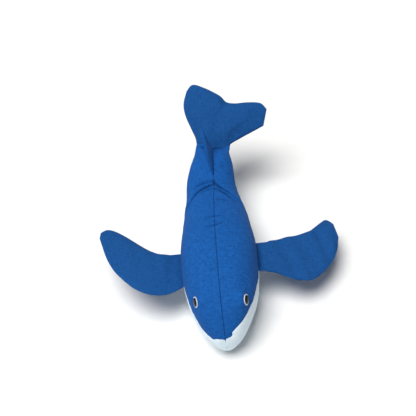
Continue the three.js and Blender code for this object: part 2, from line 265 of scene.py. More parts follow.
def shell(name, outer, inner, cloth=None):
    """A closed mesh between two grids of the same size, joined round their edges."""
    count = outer.shape[0] * outer.shape[1]
    index = np.arange(count).reshape(outer.shape[:2])
    edge = border(index)
    following = np.roll(edge, -1)
    sides = np.stack([edge, following, following + count, edge + count], -1)
    faces = np.concatenate([cells(index), cells(index + count), sides])
    points = np.concatenate([outer.reshape(-1, 3), inner.reshape(-1, 3)])
    if cloth is not None:
        cloth = np.tile(cloth.reshape(-1, 3), (2, 1))
    return new_object(name, points, faces, cloth)


def grid_normals(points, towards):
    """Unit normals of a grid of points, pointing the way the vectors in towards do."""
    across = np.gradient(points, axis=1)
    along = np.gradient(points, axis=0)
    normals = np.cross(along, across)
    length = np.linalg.norm(normals, axis=-1, keepdims=True)
    normals = np.where(length > 1e-14, normals / np.maximum(length, 1e-14), towards)
    middle = tuple(size // 2 for size in points.shape[:2])
    return normals if normals[middle] @ towards[middle] > 0 else -normals


def subdivided(piece):
    """The piece as plain mesh, subdivided once."""
    piece.modifiers.new("smooth", "SUBSURF").levels = 1
    evaluated = piece.evaluated_get(bpy.context.evaluated_depsgraph_get())
    mesh = bpy.data.meshes.new_from_object(evaluated)
    piece.modifiers.clear()
    old = piece.data
    piece.data = mesh
    bpy.data.meshes.remove(old)
    return piece


# ------------------------------ body surface
LAST = len(BODY) - 1


def smooth_line(table, samples=400):
    """Points along the smooth curve of a table, as its columns."""
    return curve(table, np.linspace(0, len(table) - 1, samples)).T


side_seam_line = smooth_line(SIDE_SEAM) * MM
seam_tilt_line = smooth_line(SEAM_TILT) * MM
twist_line = smooth_line(TWIST)
sway_line = smooth_line(SWAY) * MM


def signed_power(value, exponent):
    """A power that keeps the value's sign."""
    return np.sign(value) * np.abs(value) ** exponent


def squareness(y, sine):
    """The exponent of the body's section, which differs over the head above and below its widest level."""
    head = np.clip(1 - y / HEAD_LENGTH, 0, 1)
    return SQUARENESS + (np.where(sine < 0, KEEL_SQUARENESS, HEAD_SQUARENESS) - SQUARENESS) * head


def plain_body(s, angle):
    """The body before its tail end is closed: place s along it, counted in rows of BODY, and the angle
    round it from level with the whale's left."""
    y, half_width, back, belly, level = np.moveaxis(curve(BODY, s) * MM, -1, 0)
    angle = angle + np.radians(np.interp(y / MM, *twist_line))
    sine, cosine = np.sin(angle), np.cos(angle)
    exponent = squareness(y, sine)
    height = np.where(sine < 0, level - belly, back - level)
    x = half_width * signed_power(cosine, exponent)
    z = height * signed_power(sine, exponent)
    return x, y, z, level, np.interp(y, *sway_line)


def limb_frame(joint, nodes, out):
    """A limb's origin on its hinge, and unit vectors along the hinge, out of its flat face towards the
    way of out, and square to both."""
    points = np.concatenate([[v.co[:] for v in frame["nodes"][node].data.vertices] for node in nodes])
    points = points - points.mean(0)
    face = np.linalg.svd(points, full_matrices=False)[2][2]
    face = face * np.sign(face @ np.array(out))
    hinge = np.array(JOINTS[joint]["axis"], float)
    hinge = hinge / np.linalg.norm(hinge)
    face = face - hinge * (face @ hinge)
    face = face / np.linalg.norm(face)
    return np.array(JOINTS[joint]["pos_m"], float), hinge, face, np.cross(face, hinge)


fluke_origin, fluke_across, fluke_face, fluke_back = limb_frame(
    "fluke_flop", ["fluke_top_skin", "fluke_bottom_skin"], (0, 0, 1)
)


def body_point(s, angle):
    """The sewn body's outer surface in the row frame, before seams and creases."""
    x, y, z, level, sway = plain_body(s, angle)
    closing = smoothstep(y, CLOSE_START, CLOSE_END)
    closed = ((y - CLOSE_START) / (CLOSE_END - CLOSE_START)).clip(0, 1)
    half_height = np.maximum(np.sqrt(np.clip(1 - closed**2, 0, 1)), END_FLATNESS)
    free = np.stack([x + sway, y + NOSE, np.maximum(level + z * half_height, 0)], -1)
    width_now = curve(BODY, s)[..., 1] * MM
    across = x * END_HALF_WIDTH / width_now.clip(1e-6)
    thick = np.sign(z) * np.minimum(np.abs(z) * half_height, END_HALF_HEIGHT)
    behind = y - CLOSE_END + ROOT_SHIFT + ROOT_SKEW * across
    end = fluke_origin + across[..., None] * fluke_across + thick[..., None] * fluke_face
    end = end + behind[..., None] * fluke_back
    return free + (end - free) * closing[..., None] ** 2


def body_normal(s, angle):
    """The outward unit normal of that surface."""
    step = 0.01
    s = np.clip(s, step, LAST - step)
    along = body_point(s + step, angle) - body_point(s - step, angle)
    around = body_point(s, angle + step) - body_point(s, angle - step)
    normal = np.cross(along, around)
    return normal / np.linalg.norm(normal, axis=-1, keepdims=True).clip(1e-12)


def seam_angle(s, side):
    """The angle of the side seam, from level with the side that it is on."""
    y, half_width, back, belly, level = np.moveaxis(curve(BODY, s) * MM, -1, 0)
    height = np.interp(y, *side_seam_line)
    height = height + side * np.interp(y, *seam_tilt_line)
    wander = ripples(y, WANDER_SIZE, SEEDS["wander"]) * (1 - smoothstep(y, *WANDER_FADE))
    height = height + SEAM_WANDER * wander
    above = height > level
    room = np.where(above, back - level, level - belly).clip(1e-6)
    share = (np.abs(height - level) / room).clip(0, 1)
    exponent = squareness(y, np.where(above, 1, -1))
    return np.where(above, 1, -1) * np.arcsin(share ** (1 / exponent))


FIRST_ROW = 0.03                 # the first grid row's place, counted in rows of BODY
MERIDIANS = (-1.5, -0.7, 0.0, 0.7, 1.5)      # the angles that the spacing of the rows is measured at


def rows_along():
    """Places along the body, close together at the nose and evenly spaced behind it."""
    dense = np.linspace(FIRST_ROW, LAST, 4000)
    meridians = [body_point(dense, np.full_like(dense, angle)) for angle in MERIDIANS]
    steps = np.mean([np.linalg.norm(np.diff(m, axis=0), axis=1) for m in meridians], axis=0)
    length = np.concatenate([[0], np.cumsum(steps)])
    spacing = FINE_STEP + (MESH_STEP - FINE_STEP) * smoothstep(length, *FINE_STRETCH)
    number = np.concatenate([[0], np.cumsum(steps / spacing[1:])])
    y = curve(BODY, dense)[:, 0] * MM
    last = np.interp(CLOSE_END, y, number)
    places = np.linspace(0, last, int(round(last)) + 1)
    return np.interp(places, number, dense), np.interp(places, number, length)


# ------------------------------ creases
# Creases in the cloth: points of y in millimetres and angle round the body in degrees, then depth and
# half width in millimetres. Each crease is pressed into the cloth and also has shade painted into its colour.
CREASES = [
    ([(280, 90), (275, 86), (269, 80), (264, 72), (259, 64), (248, 49), (236, 31), (230, 22)], 4.6, 3.0),
    ([(265, 89), (260, 82), (253, 73), (246, 65), (239, 58), (232, 50)], 2.0, 2.8),
    ([(275, 91), (273, 96), (269, 106), (261, 121), (245, 136), (233, 145), (226, 150)], 3.6, 3.0),
    ([(282, 92), (280, 104), (277, 118), (272, 134)], 1.4, 3.4),
    ([(267, 91), (264, 98), (258, 110)], 1.2, 2.8),
    ([(190, 82), (190, 88), (190, 94), (188, 103)], 1.1, 2.8),
    ([(171, 83), (169, 88), (166, 94), (167, 102)], 1.3, 2.8),
    ([(82, 92), (80, 98), (82, 104)], 0.6, 2.6),
    ([(236, 88), (232, 78), (226, 64)], 0.8, 3.6),
    ([(349, 50), (346, 90), (349, 130)], 2.6, 3.0),
    ([(118, -8), (80, -20), (46, -28), (24, -30)], 1.1, 6.0),
]


ROUTE_POINTS = 50
LIP_HEIGHT = 0.35                # of the cloth raised beside a crease, as a share of its depth
LIP_PLACE = 1.9                  # and how far from the crease it stands, in half widths
# Painted shade: a crease's colour is darkened by its depth, up to the depth below.
DARKEST_DEPTH = 3                # a crease this deep or deeper is as dark as one can be, in millimetres


def crease_relief(points):
    """The height that the creases add to the surface at these points, and how deep in a crease each
    point is, from 0 to 1, which is how strongly shade is painted there."""
    total = np.zeros(points.shape[:-1])
    painted_shade = np.zeros(points.shape[:-1])
    places = np.linspace(0, LAST, 2000)
    y_of_place = curve(BODY, places)[:, 0]
    flat = points.reshape(-1, 3)
    for route, depth, width in CREASES:
        dense = curve(route, np.linspace(0, len(route) - 1, ROUTE_POINTS))
        line = body_point(np.interp(dense[:, 0], y_of_place, places), np.radians(dense[:, 1]))
        fade = np.sin(np.pi * np.linspace(0.12, 1, ROUTE_POINTS)) ** 0.6
        distance = np.linalg.norm(flat[:, None] - line[None], axis=-1)
        strength = fade[distance.argmin(1)].reshape(total.shape)
        d = (distance.min(1) / (width * MM)).reshape(total.shape)
        lip = LIP_HEIGHT * np.exp(-((d - LIP_PLACE) ** 2))
        total += depth * MM * strength * (lip - np.exp(-1.4 * d))
        # Shade painted into the colour along the crease.
        darkness = min(1, depth / DARKEST_DEPTH) * strength
        painted_shade = np.maximum(painted_shade, darkness * np.exp(-((1.3 * d) ** 2)))
    return total, painted_shade


# ------------------------------ body cloth
rows, row_length = rows_along()
TURN_STOPS = np.radians([90, 65, 40, 18])    # stops round a turned edge
BULK = 60                                    # columns between a panel's turned edges


def roll_depth(distance, radius):
    """How far a turned edge lies under the surface at a distance from its seam."""
    inside = (1 - distance / radius).clip(0, 1)
    return radius * (1 - np.sqrt(1 - inside**2))


PUCKER = (0.7 * MM, 5 * MM, 4.5 * MM)    # of the puckers: their depth, length and reach from the seam
SEAM_DIP = (0.9 * MM, 22 * MM, 9 * MM)   # of the broad hollow that a seam lies in: the same


def seam_pull(distance, along, seed):
    """The soft hollow beside a seam, with the puckers that the stitches draw in it."""
    depth, length, reach = PUCKER
    pucker = ripples(along, length, seed) * np.exp(-distance / reach)
    dip_depth, dip_length, dip_reach = SEAM_DIP
    broad = (0.6 + 0.4 * ripples(along, dip_length, seed + 1)) * np.exp(-distance / dip_reach)
    return depth * pucker + dip_depth * broad


LEAST_OPENING = 0.02             # in radians: a row with less room than this has no back panel
ARC_SAMPLES = 160
CROWDING = 0.6                   # how much closer together the columns lie near the seams
NARROW = 20 * MM                 # a panel narrower than this has weaker puckers
LUMPS = ((0.9, 42, 5), (0.4, 19, 6), (0.12, 8, 7))       # height and size in millimetres, and seed
LIFT_OFF = (2 * MM, 12 * MM)     # the lumps are pressed flat on the floor and free above this
ALLOWANCE_START = (1 * MM, 20 * MM)      # the allowance grows over this stretch behind the nose
ALLOWANCE_END = (CLOSE_START - 15 * MM, CLOSE_END - 12 * MM)     # and shrinks over this one at the tail
END_TRIM = 0.85                  # by this share


def panel_rows(side, upper):
    """The rows that a panel covers, how far along the body each is, and the angles of its two seams."""
    if not upper:
        return rows, row_length, np.full_like(rows, -math.pi / 2), seam_angle(rows, side)
    covered = seam_angle(rows, side) < math.pi / 2 - LEAST_OPENING
    s = rows[covered]
    return s, row_length[covered], seam_angle(s, side), np.full_like(s, math.pi / 2)


def panel_columns(s, low, high):
    """Each row's columns: their distances from the lower seam and their angles. Then each row's whole
    width and the radius of its turned edges."""
    angles = low[:, None] + (high - low)[:, None] * np.linspace(0, 1, ARC_SAMPLES)
    line = body_point(s[:, None] + 0 * angles, angles)
    steps = np.linalg.norm(np.diff(line, axis=1), axis=-1)
    length = np.concatenate([np.zeros((len(s), 1)), np.cumsum(steps, axis=1)], axis=1)
    total = length[:, -1:]
    radius = np.minimum(SEAM_ROLL, 0.3 * total)
    turned_edge = radius * (1 - np.sin(TURN_STOPS))
    t = np.linspace(0, 1, BULK)
    eased = t - CROWDING * np.sin(2 * np.pi * t) / (2 * np.pi)
    bulk = radius + (total - 2 * radius) * eased
    distance = np.concatenate([turned_edge, bulk, total - turned_edge[:, ::-1]], axis=1)
    angle = np.stack([np.interp(d, l, a) for d, l, a in zip(distance, length, angles)])
    return distance, angle, total, radius


def seam_depth(distance, total, radius, along, upper):
    """How far a panel's cloth lies under the body's surface, for its turned edges and its seams."""
    low_seam, high_seam = ("side seam", "back seam") if upper else ("keel seam", "side seam")
    run = along[:, None] + 0 * distance
    strength = smoothstep(total, 0, NARROW)
    depth = roll_depth(distance, radius) + roll_depth(total - distance, radius)
    depth = depth + strength * seam_pull(distance, run, SEEDS[low_seam])
    depth = depth + strength * seam_pull(total - distance, run, SEEDS[high_seam])
    return depth + roll_depth((along[-1] - along)[:, None], SEAM_ROLL)


def stuffed_relief(points):
    """How far the stuffed cloth stands out of the body's surface, and how deep in a crease it is, which
    sets the shade painted there.
    """
    height = 0
    for tall, size, seed in LUMPS:
        height = height + tall * MM * lumps(points, size * MM, seed)
    creases, painted_shade = crease_relief(points)
    return height * smoothstep(points[..., 2], *LIFT_OFF) + creases, painted_shade


def with_nose_point(outer, grids):
    """A panel's grids with one more row in front, drawn in to where the four panels meet."""
    tip = np.array([0, NOSE + NOSE_TUCK, BODY[0][2] * MM])
    outer = np.concatenate([[tip + (outer[0] - tip) * NOSE_POINT], outer])
    return outer, *(np.concatenate([grid[:1], grid]) for grid in grids)


def with_allowance(outer, normals, share):
    """A panel's cloth with two more columns at each seam, going straight in."""

    def turned_in(column, part):
        return outer[:, [column]] - normals[:, [column]] * (SEAM_ALLOWANCE * part * share[:, None, None])

    low_edge = [turned_in(0, 1.0), turned_in(0, 0.5)]
    high_edge = [turned_in(-1, 0.5), turned_in(-1, 1.0)]
    return np.concatenate([*low_edge, outer, *high_edge], axis=1)


def widened(grid):
    """A grid of values carried on over the allowance."""
    return np.pad(grid, [(0, 0), (2, 2)] + [(0, 0)] * (grid.ndim - 2), mode="edge")


def body_panel(name, side, upper):
    """One of the four sewn panels, as thin closed cloth with its edges turned in."""
    s, along, low, high = panel_rows(side, upper)
    distance, angle, total, radius = panel_columns(s, low, high)
    place = s[:, None] + 0 * angle
    body_angle = angle if side > 0 else math.pi - angle
    points, normals = body_point(place, body_angle), body_normal(place, body_angle)
    height, painted_shade = stuffed_relief(points)
    depth = seam_depth(distance, total, radius, along, upper)
    outer = seated(points + normals * (height - depth)[..., None])

    y = curve(BODY, s)[:, 0] * MM
    share = smoothstep(along, *ALLOWANCE_START) * (1 - END_TRIM * smoothstep(y, *ALLOWANCE_END))
    run = along[:, None] + 0 * distance
    outer, normals, distance, run, painted_shade, share = with_nose_point(
        outer, (normals, distance, run, painted_shade, share)
    )
    outer = with_allowance(outer, normals, share)
    # The cloth attribute's third number is the shade painted into the creases.
    cloth = np.stack([widened(distance), widened(run), widened(painted_shade) * MM], -1)
    inner = outer - grid_normals(outer, widened(normals)) * FABRIC
    outer[..., 2] = np.maximum(outer[..., 2], 0)
    inner[..., 2] = np.maximum(inner[..., 2], FABRIC * 0.5)
    return shell(name, outer, inner, cloth)


RING_RADIUS = 8 * MM
RING_BACK = 0.9 * MM             # from the middle of a ring to the cloth behind it
EYE_PULL = 19 * MM               # how far round an eye the cloth is drawn in


def ring_frame(word):
    """The middle of an eye's ring and the way it faces."""
    points = np.array([v.co[:] for v in frame["nodes"][f"eye_ring_{word}"].data.vertices])
    centre = (points.min(0) + points.max(0)) / 2
    axis = np.linalg.svd(points - points.mean(0), full_matrices=False)[2][2]
    return centre, axis * np.sign(axis[0] * centre[0])


EYES = {word: ring_frame(word) for word in ("left", "right")}


def seated(points):
    """The cloth drawn in flat behind each eye's ring, and easing back to its own shape round it."""
    for centre, axis in EYES.values():
        offset = points - centre
        height = offset @ axis
        radius = np.linalg.norm(offset - height[..., None] * axis, axis=-1)
        share = 1 - smoothstep(radius, RING_RADIUS, EYE_PULL)
        share = share * (np.linalg.norm(offset, axis=-1) < 2 * EYE_PULL)
        points = points + (share * (-RING_BACK - height))[..., None] * axis
    return points


# ------------------------------ padded limbs
PAD_CROWDING = 0.5               # how much closer together a pad's points lie near its rim
RIM_DRAW = 0.35                  # how much of the draw-in of a blown-up pad's outline stays
RIM_GROOVE = 0.2 * MM            # how far the sewn rim is drawn in
RIM_GAP = 0.08 * MM              # from the middle of a pad to each cloth's rim
RIM_CLOTH = 0.02 * MM            # the cloth pressed thin in the rim's seam
EMPTY_HALF = 0.4 * MM            # half the thickness of an empty pad
SLACK = 0.45                     # how full a pad is before it is blown up
RIM = (np.s_[0, :], np.s_[-1, :], np.s_[:, 0], np.s_[:, -1])     # the four edges of a grid

# The bag of cloth that a pad is blown up from.
BAG_CLOTH = {
    "quality": 6,
    "mass": 0.15,
    "tension_stiffness": 40,
    "compression_stiffness": 40,
    "shear_stiffness": 15,
    "bending_stiffness": 0.8,
    "use_pressure": True,
    "uniform_pressure_force": 4.0,
    "vertex_group_mass": "pinned",
}
BAG_FRAMES = 20
BAG_LIMIT = 0.8                  # how far a point may move, as a share of the pad's crown


def flat_pad(lead, trail, rungs, spans):
    """A grid over a limb's outline, with rungs steps along it and spans across, in millimetres."""
    along = np.linspace(0, 1, rungs + 1)
    t = np.linspace(0, 1, spans + 1)
    eased = t - PAD_CROWDING * np.sin(2 * np.pi * t) / (2 * np.pi)
    a, b = even_curve(lead, along), even_curve(trail, along)
    place = a[:, None] + (b - a)[:, None] * eased[None, :, None]
    return place, along[:, None], t[None, :]


def bag(name, top, bottom, pinned):
    """A flat bag of cloth from two grids that share their rim, and the vertex numbers of both grids."""
    shape = top.shape[:2]
    index = np.arange(shape[0] * shape[1]).reshape(shape)
    lower = index + index.size
    for edge in RIM:
        lower[edge] = index[edge]
    used, compact = np.unique(np.concatenate([index.ravel(), lower.ravel()]), return_inverse=True)
    points = np.concatenate([top.reshape(-1, 3), bottom.reshape(-1, 3)])[used]
    compact = compact.reshape(2, *shape)
    made = new_object(name, points, np.concatenate([cells(compact[0]), cells(compact[1])]))
    group = made.vertex_groups.new(name="pinned")
    group.add([int(i) for i in np.unique(compact[0][pinned])], 1.0, "REPLACE")
    return made, points, compact


def inflate(name, top, bottom, pinned, limit):
    """The two grids of a pad after cloth simulation has blown them up. No point moves further than
    limit."""
    made, points, compact = bag(name, top, bottom, pinned)
    cloth = made.modifiers.new("cloth", "CLOTH")
    for setting, value in BAG_CLOTH.items():
        setattr(cloth.settings, setting, value)
    cloth.settings.effector_weights.gravity = 0
    cloth.point_cache.frame_start = 1
    cloth.point_cache.frame_end = BAG_FRAMES
    for step in range(1, BAG_FRAMES + 1):
        bpy.context.scene.frame_set(step)
    evaluated = made.evaluated_get(bpy.context.evaluated_depsgraph_get())
    moved = np.zeros(points.size)
    evaluated.data.vertices.foreach_get("co", moved)
    shift = moved.reshape(-1, 3) - points
    size = np.linalg.norm(shift, axis=1, keepdims=True).clip(1e-9)
    moved = points + shift * np.minimum(1, limit / size)
    bpy.context.scene.frame_set(1)
    bpy.data.objects.remove(made)
    return moved[compact[0]], moved[compact[1]]


def pad_layers(name, outline, grid, crown, plump, pinned=None):
    """A sewn pad's top and bottom cloth in limb coordinates, and the flat outline they start from. A pad
    with pinned points is stuffed: it is blown up from a slack bag that is held at those points."""
    flat, along, across = flat_pad(*outline, *grid)
    flat = flat * MM
    stuffed = pinned is not None
    bulge = plump(along) * np.sin(np.pi * across).clip(0) ** 0.7
    half = EMPTY_HALF + (SLACK if stuffed else 1.0) * crown * bulge
    for edge in RIM:
        half[edge] = 0
    top, bottom = (np.concatenate([flat, side * half[..., None]], -1) for side in (1, -1))
    if stuffed:
        top, bottom = inflate(name + "_bag", top, bottom, pinned, BAG_LIMIT * crown)
        for layer in (top, bottom):
            layer[..., :2] = flat + RIM_DRAW * (layer[..., :2] - flat)
    elif stuffed:
        top[..., 2], bottom[..., 2] = top[..., 2] / SLACK, bottom[..., 2] / SLACK
    return folded(name, top), folded(name, bottom), flat


CREST_HEIGHT = 0.5               # of the cloth raised beside a fold, as a share of its depth
CREST_PLACE = 1.8                # and how far from the fold it stands, in half widths


def folded(name, layer):
    """A pad's layer with its soft folds pressed in across it."""
    place = layer[..., :2]
    inside = 1 - rim_pull(layer.shape[:2])
    for start, end, depth, width in FOLDS.get(name, ()):
        start, end = np.array(start) * MM, np.array(end) * MM
        along = ((place - start) @ (end - start)) / ((end - start) @ (end - start))
        nearest = start + along.clip(0, 1)[..., None] * (end - start)
        distance = np.linalg.norm(place - nearest, axis=-1) / (width * MM)
        crest = np.exp(-((distance - CREST_PLACE) ** 2))
        layer[..., 2] += depth * MM * (CREST_HEIGHT * crest - np.exp(-(distance**2))) * inside
    return layer


def rim_pull(shape):
    """1 on a grid's rim and 0 inside it."""
    rim = np.zeros(shape)
    for edge in RIM:
        rim[edge] = 1
    return rim


def pad_piece(name, layer, out, flat, place):
    """One cloth layer of a pad, with its outer face drawn in a little along the seam at its rim. place
    turns limb coordinates into the row frame."""
    rim = rim_pull(layer.shape[:2])[..., None]
    inwards = layer.mean((0, 1)) - layer
    inwards = inwards / np.linalg.norm(inwards, axis=-1, keepdims=True).clip(1e-9)
    outer = layer + inwards * RIM_GROOVE * rim
    outer[..., 2] += out * RIM_GAP * rim[..., 0]
    facing = np.zeros_like(outer) + [0, 0, out]
    normals = grid_normals(outer, facing) * (1 - rim) + facing * rim
    inner = outer - normals * FABRIC * (1 - rim) - facing * rim * RIM_CLOTH
    cloth = np.concatenate([flat, 0 * flat[..., :1]], -1)
    return shell(name, place(outer), place(inner), cloth)


PAD_INSET = 1.6 * MM             # from a pad's outer face in to its stuffing
LEAST_HALF = 0.15 * MM           # half the stuffing's thickness where the pad is thinnest


def filling_piece(name, top, bottom, place):
    """The stuffing of a pad, just inside its cloth."""
    half = (top[..., 2] - bottom[..., 2]) / 2
    centre = (top + bottom) / 2
    keep = (half - PAD_INSET).clip(LEAST_HALF)
    upper, lower = centre.copy(), centre.copy()
    upper[..., 2] += keep
    lower[..., 2] -= keep
    inside = np.s_[2:-2:2, 2:-2:2]
    return shell(name, place(upper[inside]), place(lower[inside]))


# ------------------------------ materials
def node(tree, kind, **values):
    """A new node with these settings."""
    made = tree.nodes.new(kind)
    for key, value in values.items():
        setattr(made, key, value)
    return made


def math_node(tree, operation, a, b=None):
    """The result of one calculation on one or two values, each a number or another node's output."""
    made = node(tree, "ShaderNodeMath", operation=operation)
    for socket, value in zip(made.inputs, (a, b)):
        if value is None:
            continue
        if isinstance(value, (int, float)):
            socket.default_value = value
        else:
            tree.links.new(value, socket)
    return made.outputs[0]


def noise_node(tree, coordinates, scale, detail=3.0, roughness=0.5):
    """Noise from 0 to 1 at these coordinates."""
    made = node(tree, "ShaderNodeTexNoise")
    made.inputs["Scale"].default_value = scale
    made.inputs["Detail"].default_value = detail
    made.inputs["Roughness"].default_value = roughness
    tree.links.new(coordinates, made.inputs["Vector"])
    return made.outputs["Fac"]


def ramp_node(tree, factor, stops):
    """A colour that runs through stops of position and colour as the factor grows."""
    made = node(tree, "ShaderNodeValToRGB")
    elements = made.color_ramp.elements
    while len(elements) < len(stops):
        elements.new(0.5)
    for element, (position, color) in zip(elements, stops):
        element.position = position
        element.color = (*color, 1)
    tree.links.new(factor, made.inputs["Fac"])
    return made.outputs["Color"]


THREAD = 0.75 * MM               # from one thread to the next
SLUB = (1.4 * MM, 14 * MM)       # the width and length of an uneven stretch of yarn
# Painted shade: the tone of the cloth is darkened in creases by up to this much.
CREASE_SHADE = 0.38              # how much darker the tone is in the deepest creases


def woven(name, deepest, dark, light, sheen, sheen_tint, bump):
    """Plain-woven cloth: crossed threads, uneven yarn and soft mottling, and shade painted into its creases.
    The mesh attribute "cloth" holds the place along the two thread directions, and how deep in a crease
    the cloth is, in millimetres, which sets the painted shade."""
    material = bpy.data.materials.new(name)
    material.use_nodes = True
    tree = material.node_tree
    shader = tree.nodes["Principled BSDF"]
    cloth = node(tree, "ShaderNodeAttribute", attribute_name="cloth")
    split = node(tree, "ShaderNodeSeparateXYZ")
    tree.links.new(cloth.outputs["Vector"], split.inputs[0])
    warp = math_node(tree, "SINE", math_node(tree, "MULTIPLY", split.outputs[0], math.pi / THREAD))
    weft = math_node(tree, "SINE", math_node(tree, "MULTIPLY", split.outputs[1], math.pi / THREAD))
    crossing = math_node(tree, "MULTIPLY", warp, weft)
    over = math_node(tree, "ADD", math_node(tree, "MULTIPLY", crossing, 0.5), 0.5)
    threads = math_node(tree, "ADD", math_node(tree, "ABSOLUTE", warp), math_node(tree, "ABSOLUTE", weft))
    weave = math_node(tree, "ADD", over, math_node(tree, "MULTIPLY", threads, 0.35))

    # Yarn that is thicker here and thinner there, along both thread directions.
    slubs = []
    thin, long = (1 / size for size in SLUB)
    for stretch in ((thin, long, 1), (long, thin, 1)):
        scaled = node(tree, "ShaderNodeVectorMath", operation="MULTIPLY")
        scaled.inputs[1].default_value = stretch
        tree.links.new(cloth.outputs["Vector"], scaled.inputs[0])
        slubs.append(noise_node(tree, scaled.outputs[0], 1.0, 2.0))
    slub = math_node(tree, "MULTIPLY", math_node(tree, "ADD", *slubs), 0.5)
    position = node(tree, "ShaderNodeNewGeometry").outputs["Position"]
    mottle = math_node(tree, "MULTIPLY", noise_node(tree, position, 230.0, 5.0, 0.7), 0.4)
    tone = math_node(tree, "ADD", math_node(tree, "MULTIPLY", slub, 0.45), mottle)
    tone = math_node(tree, "ADD", tone, math_node(tree, "MULTIPLY", weave, 0.1))
    # Painted shade: the tone is darkened where the cloth lies deep in a crease.
    tone = math_node(tree, "SUBTRACT", tone, math_node(tree, "MULTIPLY", split.outputs[2], CREASE_SHADE / MM))
    color = ramp_node(tree, tone, ((0.0, deepest), (0.36, dark), (0.62, light)))
    tree.links.new(color, shader.inputs["Base Color"])
    shader.inputs["Roughness"].default_value = 0.88
    shader.inputs["Specular IOR Level"].default_value = 0.12
    shader.inputs["Sheen Weight"].default_value = sheen
    shader.inputs["Sheen Roughness"].default_value = 0.45
    shader.inputs["Sheen Tint"].default_value = (*sheen_tint, 1)
    height = math_node(tree, "ADD", weave, math_node(tree, "MULTIPLY", slub, 1.5))
    relief = node(tree, "ShaderNodeBump")
    relief.inputs["Strength"].default_value = bump
    relief.inputs["Distance"].default_value = 0.12 * MM
    tree.links.new(height, relief.inputs["Height"])
    tree.links.new(relief.outputs["Normal"], shader.inputs["Normal"])
    return material


def plain(name, color, roughness, specular=0.5, coat=0.0, grain=0.0, grain_size=1 * MM, spread=0.12):
    """Moulded plastic or loose fibre: one colour with a faint uneven tone and grain."""
    material = bpy.data.materials.new(name)
    material.use_nodes = True
    tree = material.node_tree
    shader = tree.nodes["Principled BSDF"]
    position = node(tree, "ShaderNodeNewGeometry").outputs["Position"]
    tone = noise_node(tree, position, 1 / (8 * grain_size), 3.0)
    dark = [c * (1 - spread) for c in color]
    light = [min(1, c * (1 + spread)) for c in color]
    tree.links.new(ramp_node(tree, tone, ((0.35, dark), (0.65, light))), shader.inputs["Base Color"])
    shader.inputs["Roughness"].default_value = roughness
    shader.inputs["Specular IOR Level"].default_value = specular
    shader.inputs["Coat Weight"].default_value = coat
    if grain:
        relief = node(tree, "ShaderNodeBump")
        relief.inputs["Strength"].default_value = grain
        relief.inputs["Distance"].default_value = 0.2 * MM
        tree.links.new(noise_node(tree, position, 1 / grain_size, 4.0), relief.inputs["Height"])
        tree.links.new(relief.outputs["Normal"], shader.inputs["Normal"])
    return material


# The darkest blue of the cloth: the painted shade of the deepest creases, and the darkest yarn.
CREASE_SHADE_BLUE = (0.0005, 0.008, 0.04)
BLUE_SHEEN = (0.35, 0.6, 1.0)
BLUE = woven("blue_cloth", CREASE_SHADE_BLUE, (0.002, 0.054, 0.225), (0.011, 0.116, 0.43), 0.05, BLUE_SHEEN, 0.8)
# A darker copy of the blue cloth, for the flippers and the fluke.
LIMB_BLUE = woven("limb_cloth", CREASE_SHADE_BLUE, (0.004, 0.052, 0.19), (0.011, 0.09, 0.31), 0.05, BLUE_SHEEN, 0.8)
# The white cloth's first colour is its darkest: the painted shade of the deepest creases and the darkest
# yarn.
WHITE = woven(
    "white_cloth", (0.3, 0.34, 0.42), (0.68, 0.83, 0.98), (0.84, 0.96, 1.0), 0.08, (0.9, 0.95, 1.0), 0.6
)
FIBRE = plain("polyester_fibre", (0.86, 0.85, 0.81), 0.95, 0.2, grain=0.8, grain_size=2 * MM)
BLACK = plain("black_dome", (0.002, 0.002, 0.003), 0.1, 0.25, spread=0.3)
PALE = plain("pale_ring", (0.6, 0.68, 0.8), 0.42, 0.5, grain=0.1, grain_size=0.6 * MM, spread=0.05)
NYLON = plain("nylon", (0.75, 0.75, 0.72), 0.5, 0.5, grain=0.15, grain_size=0.8 * MM, spread=0.05)


def finished(piece, material, replaced):
    """The piece with its material and the CAD nodes that it stands for."""
    piece.data.materials.clear()
    piece.data.materials.append(material)
    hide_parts(*replaced)
    return piece


# ------------------------------ camera, floor, light
TARGET = Vector((-0.012, 0.0354, 0.060))
AZIMUTH, ELEVATION, ROLL = (math.radians(a) for a in (3.8, 43.7, -9.2))
DISTANCE = 1.305
LENS = 70.4

back = Vector((
    math.sin(AZIMUTH) * math.cos(ELEVATION),
    -math.cos(AZIMUTH) * math.cos(ELEVATION),
    math.sin(ELEVATION),
))
camera = bpy.data.objects.new("camera", bpy.data.cameras.new("camera"))
bpy.context.scene.collection.objects.link(camera)
camera.data.lens = LENS
camera.data.sensor_width = 36
camera.data.clip_start = 0.05
camera.location = TARGET + back * DISTANCE
camera.rotation_mode = "QUATERNION"
level_view = (-back).to_track_quat("-Z", "Y")
camera.rotation_quaternion = level_view @ Matrix.Rotation(ROLL, 3, "Z").to_quaternion()
bpy.context.scene.camera = camera

FLOOR = 3.0                      # half the floor's side
floor_mesh = bpy.data.meshes.new("floor")
floor_corners = [(x * FLOOR, y * FLOOR, 0) for x, y in ((-1, -1), (1, -1), (1, 1), (-1, 1))]
floor_mesh.from_pydata(floor_corners, [], [(0, 1, 2, 3)])
floor = bpy.data.objects.new("floor", floor_mesh)
bpy.context.scene.collection.objects.link(floor)
floor_mesh.materials.append(plain("pale_floor", (0.86, 0.86, 0.86), 0.9, 0.1, grain_size=4 * MM, spread=0.01))


def area_light(name, place, aim, size, power, color):
    """A round lamp at a place, aimed at a point."""
    data = bpy.data.lights.new(name, "AREA")
    data.shape = "DISK"
    data.size = size
    data.energy = power
    data.color = color
    light = bpy.data.objects.new(name, data)
    light.location = place
    light.rotation_mode = "QUATERNION"
    light.rotation_quaternion = (Vector(aim) - Vector(place)).to_track_quat("-Z", "Y")
    bpy.context.scene.collection.objects.link(light)


